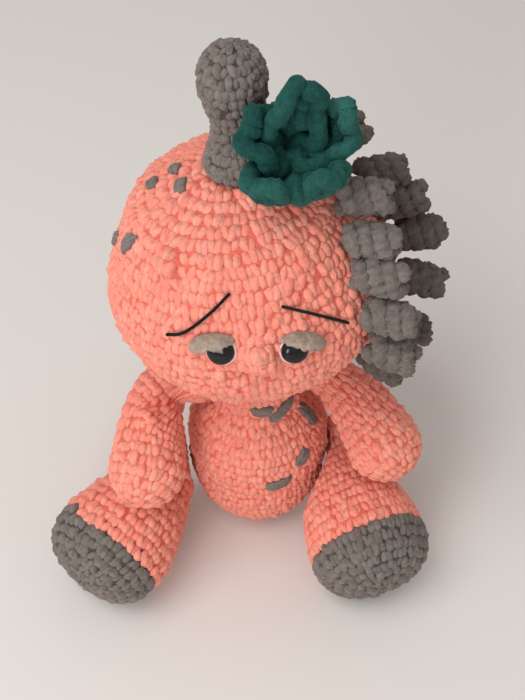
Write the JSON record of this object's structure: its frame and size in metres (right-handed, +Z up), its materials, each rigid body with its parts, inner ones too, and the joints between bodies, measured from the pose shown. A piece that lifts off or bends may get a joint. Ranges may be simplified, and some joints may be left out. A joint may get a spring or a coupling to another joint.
{
  "type": "stuffed dinosaur",
  "caption": "Crocheted stuffed dinosaur sitting up, with a knobbed horn, ruffled flower, curly mane, drooping eyelids, and a nodding head and swinging limbs.",
  "frame": {"origin": "middle of the flat base that the body sits on, at floor level", "axes": "+Z up; the toy faces -Y; +X is the viewer's right as the toy is looked at from the front"},
  "size_m": [0.2284, 0.1922, 0.3362],
  "materials": {
    "coral_chenille": "matte",
    "grey_chenille": "matte",
    "green_chenille": "matte",
    "polyester_stuffing": "matte",
    "black_plastic": "gloss",
    "white_plastic": "matte",
    "beige_felt": "matte",
    "black_thread": "satin"
  },
  "bodies": {
    "torso": {"body_filling": "polyester_stuffing", "body_shell": "coral_chenille", "body_spots": "grey_chenille", "neck_seam": "coral_chenille", "tail_filling": "polyester_stuffing", "tail_shell": "coral_chenille"},
    "head": {"curl_back_1": "grey_chenille", "curl_back_2": "grey_chenille", "curl_back_3": "grey_chenille", "curl_back_4": "grey_chenille", "curl_back_5": "grey_chenille", "curl_back_6": "grey_chenille", "curl_back_7": "grey_chenille", "curl_front_1": "grey_chenille", "curl_front_2": "grey_chenille", "curl_front_3": "grey_chenille", "curl_front_4": "grey_chenille", "curl_front_5": "grey_chenille", "eye_left": "black_plastic", "eye_right": "black_plastic", "eye_washer_left": "white_plastic", "eye_washer_right": "white_plastic", "eyebrow_left": "black_thread", "eyebrow_right": "black_thread", "eyelid_left": "beige_felt", "eyelid_right": "beige_felt", "flower": "green_chenille", "head_filling": "polyester_stuffing", "head_shell": "coral_chenille", "head_spots": "grey_chenille", "horn_filling": "polyester_stuffing", "horn_shell": "grey_chenille"},
    "arm_left": {"arm_filling_left": "polyester_stuffing", "arm_shell_left": "coral_chenille"},
    "arm_right": {"arm_filling_right": "polyester_stuffing", "arm_shell_right": "coral_chenille"},
    "leg_left": {"leg_filling_left": "polyester_stuffing", "leg_shell_left": "coral_chenille", "toe_cap_left": "grey_chenille"},
    "leg_right": {"leg_filling_right": "polyester_stuffing", "leg_shell_right": "coral_chenille", "toe_cap_right": "grey_chenille"}
  },
  "joints": [
    {"name": "head_nod", "type": "hinge", "parent": "torso", "child": "head", "pos_m": [0, 0, 0.117], "axis": [1, 0, 0], "range_deg": [-10, 10]},
    {"name": "arm_left_swing", "type": "hinge", "parent": "torso", "child": "arm_left", "pos_m": [-0.03416, -0.0048, 0.117], "axis": [0.9903, 0.1392, 0], "range_deg": [-45, 0]},
    {"name": "arm_right_swing", "type": "hinge", "parent": "torso", "child": "arm_right", "pos_m": [0.03416, 0.0048, 0.117], "axis": [0.9903, 0.1392, 0], "range_deg": [-45, 0]},
    {"name": "leg_left_swing", "type": "hinge", "parent": "torso", "child": "leg_left", "pos_m": [-0.04357, -0.00612, 0.048], "axis": [0.9903, 0.1392, 0], "range_deg": [0, 80]},
    {"name": "leg_right_swing", "type": "hinge", "parent": "torso", "child": "leg_right", "pos_m": [0.04357, 0.00612, 0.048], "axis": [0.9903, 0.1392, 0], "range_deg": [0, 80]}
  ]
}
